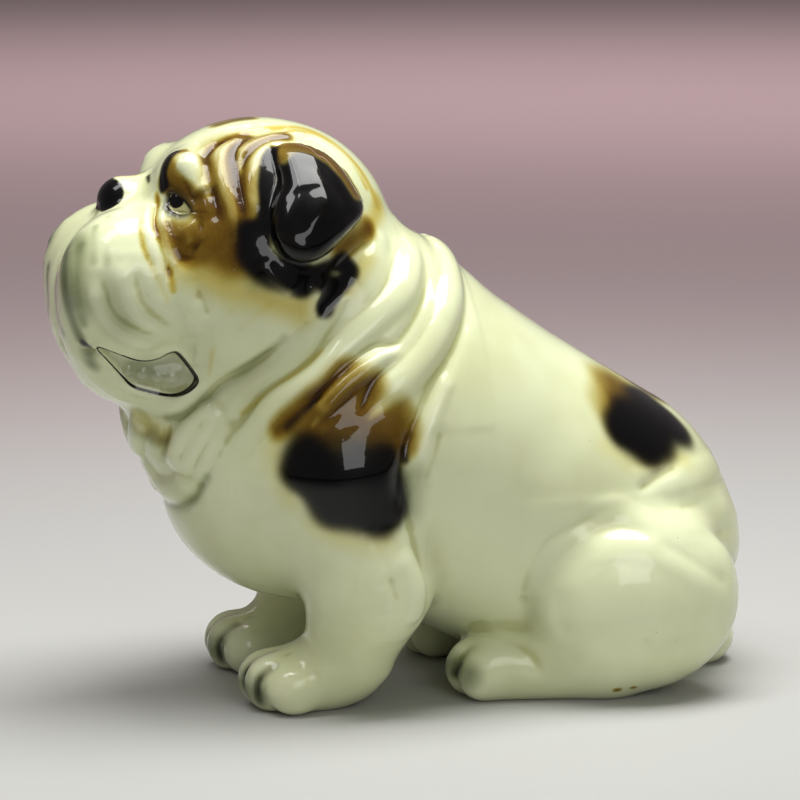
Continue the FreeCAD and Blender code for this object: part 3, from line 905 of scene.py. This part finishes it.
# ---- glaze ----
class Graph:
    """A new material, with short ways to add nodes to it and link them."""

    def __init__(self, name):
        self.material = bpy.data.materials.new(name)
        self.material.use_nodes = True
        self.tree = self.material.node_tree
        self.tree.nodes.clear()

    def finished(self, shader):
        """The material, with this shader on its surface."""
        out = self.node("ShaderNodeOutputMaterial")
        self.put(out.inputs["Surface"], shader.outputs[0])
        return self.material

    def node(self, kind, **inputs):
        settings = inputs.pop("settings", {})
        item = self.tree.nodes.new(kind)
        for key, value in settings.items():
            setattr(item, key, value)
        for key, value in inputs.items():
            numbered = key[0] == "i" and key[1:].isdigit()
            self.put(item.inputs[int(key[1:]) if numbered else key.replace("_", " ")], value)
        return item

    def put(self, socket, value):
        if isinstance(value, bpy.types.NodeSocket):
            self.tree.links.new(value, socket)
        else:
            socket.default_value = value

    def math(self, operation, a, b=0.0, c=0.0, clamp=False):
        settings = {"operation": operation, "use_clamp": clamp}
        return self.node("ShaderNodeMath", settings=settings, i0=a, i1=b, i2=c).outputs[0]

    def ramp(self, value, low, high, start=0.0, end=1.0):
        """Smooth step of a value between two edges."""
        item = self.node("ShaderNodeMapRange", settings={"interpolation_type": "SMOOTHSTEP"},
                         i0=value, i1=low, i2=high, i3=start, i4=end)
        return item.outputs[0]

    def mix(self, share, a, b):
        item = self.node("ShaderNodeMix", settings={"data_type": "RGBA"})
        self.put(item.inputs[0], share)
        self.put(item.inputs[6], a)
        self.put(item.inputs[7], b)
        return item.outputs[2]

    def channel(self, name):
        return self.node("ShaderNodeAttribute", settings={"attribute_name": name}).outputs["Fac"]

    def noise(self, place, scale, detail=3.0, rough=0.55):
        item = self.node("ShaderNodeTexNoise", Vector=place, Scale=scale, Detail=detail, Roughness=rough)
        return item.outputs[0]


IVORY = (0.765, 0.81, 0.52, 1)
IVORY_DEEP = (0.50, 0.52, 0.22, 1)
IVORY_THIN = (0.84, 0.86, 0.63, 1)
BLACK_LINE = (0.0022, 0.0018, 0.0016, 1)
# painted shade inside the sunken mouth
MOUTH_SHADE = (0.09, 0.10, 0.06, 1)
# dark brown of the lids, also painted shade where the upper lid overhangs the eye
LID_PAINT_AND_SHADE = (0.030, 0.018, 0.006, 1)
EYE_WHITE = (0.40, 0.38, 0.17, 1)
# Underglaze paints, smoke and tan also laid as painted shade: how quickly each one builds up, and how much
# red, green and blue a full coat soaks up
PAINTS = {
    "tan": (1.2, (0.32, 0.68, 2.1)),
    "brown": (1.2, (1.85, 2.55, 4.9)),
    "smoke_and_shade": (1.2, (1.7, 1.6, 1.9)),
    "black": (2.6, (8.6, 8.8, 9.4)),
}
BARE_CLAY = (0.72, 0.64, 0.52, 1)
BARE_CLAY_DARK = (0.60, 0.52, 0.40, 1)
IRON_SPECK = (0.30, 0.26, 0.16, 1)
IRIS_RADIUS = 2.7               # of the dark iris, mm
# Where the liner round the mouth grows thicker, m: from one Y to another, and from one Z to another
LINE_BACK = (-0.104, -0.082)
LINE_LOW = (0.1185, 0.112)


def glaze(name):
    """Thick clear glaze over painted earthenware, bare where it was wiped off for the kiln shelf."""
    g = Graph(name)
    place = g.node("ShaderNodeTexCoord").outputs["Object"]
    cloud = g.noise(place, 22.0, 3.0)
    grain = g.noise(place, 160.0, 4.0)
    speck = g.noise(place, 900.0, 2.0)
    fine, broad = g.channel("fine"), g.channel("broad")
    wander = g.math("MULTIPLY", g.math("SUBTRACT", grain, 0.5), 0.10)

    # the glaze is deeper and greener where it pools and thins to cream on the ridges
    pooled = g.math("ADD", g.ramp(fine, 0.02, 0.30), g.ramp(broad, 0.2, 2.2, 0.0, 0.55), clamp=True)
    thin = g.ramp(g.math("MULTIPLY", fine, -1.0), 0.03, 0.30)
    base = g.mix(g.ramp(cloud, 0.35, 0.68, 0.0, 0.35), IVORY, IVORY_DEEP)
    base = g.mix(g.math("MULTIPLY", pooled, 0.75), base, IVORY_DEEP)
    base = g.mix(g.math("MULTIPLY", thin, 0.5), base, IVORY_THIN)

    # paint soaks light up layer by layer: it gathers in the hollows and is lean on the ridges
    load = g.math("MULTIPLY_ADD", thin, -0.40, g.math("MULTIPLY_ADD", pooled, 0.35, 1.0))
    speckle = g.ramp(g.noise(place, 1400.0, 2.0), 0.30, 0.70, 0.97, 1.03)
    load = g.math("MULTIPLY", g.math("MULTIPLY", load, speckle), g.ramp(grain, 0.25, 0.75, 0.94, 1.06))
    soaked = [0.0, 0.0, 0.0]
    for channel, (gather, soak) in PAINTS.items():
        depth = g.math("MULTIPLY", g.math("POWER", g.channel(channel), gather), load)
        soaked = [g.math("MULTIPLY_ADD", depth, -amount, total) for amount, total in zip(soak, soaked)]
    left = g.node("ShaderNodeCombineXYZ", X=g.math("EXPONENT", soaked[0]), Y=g.math("EXPONENT", soaked[1]),
                  Z=g.math("EXPONENT", soaked[2])).outputs[0]
    base = g.node("ShaderNodeVectorMath", settings={"operation": "MULTIPLY"}, i0=base, i1=left).outputs[0]

    # liner brush: round the mouth and the eye, and the iris, with painted shade inside the sunken mouth and
    # under the upper lid
    mouth = g.channel("mouth")
    _, along, up = g.node("ShaderNodeSeparateXYZ", Vector=place).outputs
    back = g.ramp(along, *LINE_BACK)
    low = g.ramp(up, *LINE_LOW)
    half = g.math("ADD", 0.22, g.math("MULTIPLY", g.math("MAXIMUM", back, low), 0.25))
    half = g.math("ADD", half, g.math("MULTIPLY", wander, 1.2))
    line = g.math("SUBTRACT", g.math("ABSOLUTE", mouth), half)
    # painted shade, deepening inwards from the mouth's outline
    mouth_shade = g.ramp(mouth, 0.3, -2.0)
    base = g.mix(g.math("MULTIPLY", mouth_shade, 0.3), base, MOUTH_SHADE)
    base = g.mix(g.ramp(line, 0.16, -0.12), base, BLACK_LINE)
    eye_edge, iris = g.channel("eye_edge"), g.channel("iris")
    base = g.mix(g.ramp(eye_edge, 0.15, -0.15), base, EYE_WHITE)
    dark = g.ramp(iris, IRIS_RADIUS + 0.2, IRIS_RADIUS - 0.2)
    base = g.mix(g.math("MULTIPLY", g.ramp(eye_edge, 0.2, -0.1), dark), base, BLACK_LINE)
    # a dark brown band just outside the eye: lid paint, and painted shade under the overhanging upper lid
    lid = g.math("MULTIPLY", g.ramp(eye_edge, 2.6, 0.6), g.ramp(eye_edge, -0.15, 0.1))
    base = g.mix(g.math("MULTIPLY", lid, 0.9), base, LID_PAINT_AND_SHADE)
    rim = g.math("SUBTRACT", g.math("ABSOLUTE", g.math("SUBTRACT", eye_edge, 0.1)), 0.25)
    base = g.mix(g.ramp(rim, 0.2, -0.1), base, BLACK_LINE)

    # pinholes and iron specks, and the bare foot
    pin = g.ramp(g.node("ShaderNodeTexVoronoi", Vector=place, Scale=95.0).outputs["Distance"], 0.045, 0.02)
    base = g.mix(g.math("MULTIPLY", pin, 0.3), base, IRON_SPECK)
    foot = g.ramp(up, 0.0009, 0.0003)
    base = g.mix(foot, base, g.mix(grain, BARE_CLAY, BARE_CLAY_DARK))

    ripple = g.node("ShaderNodeBump", Strength=0.10, Distance=0.0012, Height=g.noise(place, 55.0, 1.0))
    pitted = g.node("ShaderNodeBump", Strength=0.25, Distance=0.0003,
                    Height=g.math("SUBTRACT", g.math("MULTIPLY", speck, 0.06), pin))
    g.put(pitted.inputs["Normal"], ripple.outputs[0])
    shader = g.node("ShaderNodeBsdfPrincipled", Base_Color=base, Normal=pitted.outputs[0])
    g.put(shader.inputs["Roughness"], g.ramp(foot, 0.0, 1.0, 0.32, 0.85))
    g.put(shader.inputs["Coat Weight"], g.ramp(foot, 0.0, 1.0, 1.0, 0.0))
    g.put(shader.inputs["Coat Normal"], pitted.outputs[0])
    shader.inputs["Coat Roughness"].default_value = 0.035
    shader.inputs["Coat IOR"].default_value = 1.38
    shader.inputs["Specular IOR Level"].default_value = 0.05
    return g.finished(shader)


slots = {entry["node"]: entry["material_slot"] for entry in frame["record"]["subparts"]}
glazes = {slot: glaze(slot) for slot in ("body_glaze", "head_glaze", "ear_glaze", "leg_glaze")}
for node, part in pieces.items():
    piece = make_piece(node, part)
    piece.data.materials.append(glazes[slots[node]])
    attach(piece, "root")
    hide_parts(node)

# ---- floor, light and camera ----
PAPER = (0.44, 0.445, 0.43, 1)
# painted shade on the paper by the object's left side, towards the camera
PAPER_SHADE = (0.17, 0.165, 0.165, 1)
PAPER_FAR = (0.46, 0.385, 0.385, 1)
FLOOR_HALF = 16.0
FRAME_WIDTH = 0.28              # what the picture spans at the object, m
AZIMUTH, ELEVATION, DISTANCE = math.radians(75), math.radians(9), 1.1
low_corner, high_corner = (Vector(corner) for corner in CAD_BOX)
middle = (low_corner + high_corner) / 2


def paper(name):
    """Matt pale paper, darker with painted shade by the object's left side and warmer far beyond its right.
    """
    g = Graph(name)
    place = g.node("ShaderNodeTexCoord").outputs["Object"]
    left = g.node("ShaderNodeSeparateXYZ", Vector=place).outputs["X"]
    tone = g.mix(g.ramp(left, 0.13, 0.6), PAPER, PAPER_SHADE)
    tone = g.mix(g.ramp(left, -0.2, -1.0), tone, PAPER_FAR)
    shader = g.node("ShaderNodeBsdfPrincipled", Base_Color=tone, Roughness=0.7)
    return g.finished(shader)


def make_floor():
    mesh = bpy.data.meshes.new("floor")
    corners = [(FLOOR_HALF * x, FLOOR_HALF * y, 0) for x, y in ((-1, -1), (1, -1), (1, 1), (-1, 1))]
    mesh.from_pydata(corners, [], [(0, 1, 2, 3)])
    mesh.materials.append(paper("pale_paper"))
    return placed("floor", mesh)


make_floor()


def softbox(name, place, aim, size, power, colour=(1, 1, 1), spread=180):
    lamp = bpy.data.lights.new(name, "AREA")
    lamp.shape = "RECTANGLE"
    lamp.size, lamp.size_y = size
    lamp.energy = power
    lamp.color = colour
    lamp.spread = math.radians(spread)
    item = placed(name, lamp)
    item.location = place
    item.rotation_euler = (Vector(aim) - Vector(place)).to_track_quat("-Z", "Y").to_euler()


aim = (0, 0, 0.1)
softbox("key_softbox", (-0.02, 0.14, 1.25), aim, (0.7, 0.95), 9.7, (1.0, 0.995, 0.975), 120)
softbox("top_softbox", (0.12, -0.48, 1.15), aim, (0.28, 0.46), 3.0)
softbox("fill_softbox", (1.5, 0.15, 0.75), aim, (0.7, 0.7), 5.0)
softbox("backdrop_softbox", (-3.2, 1.3, 2.8), (-5.0, 2.0, 0), (3.4, 3.4), 110, (1.0, 0.80, 0.84))

world = bpy.data.worlds.new("studio")
world.use_nodes = True
world.node_tree.nodes["Background"].inputs["Color"].default_value = (0.70, 0.64, 0.65, 1)
world.node_tree.nodes["Background"].inputs["Strength"].default_value = 0.24
bpy.context.scene.world = world
bpy.context.scene.view_settings.view_transform = "Standard"

level = Vector((math.sin(AZIMUTH), -math.cos(AZIMUTH), 0))
back = level * math.cos(ELEVATION) + Vector((0, 0, math.sin(ELEVATION)))
target = middle + Vector((0, -0.0012, -0.0002))
camera = placed("camera", bpy.data.cameras.new("camera"))
camera.data.lens = camera.data.sensor_width * DISTANCE / FRAME_WIDTH
camera.location = target + back * DISTANCE
camera.rotation_euler = (-back).to_track_quat("-Z", "Y").to_euler()
bpy.context.scene.camera = camera
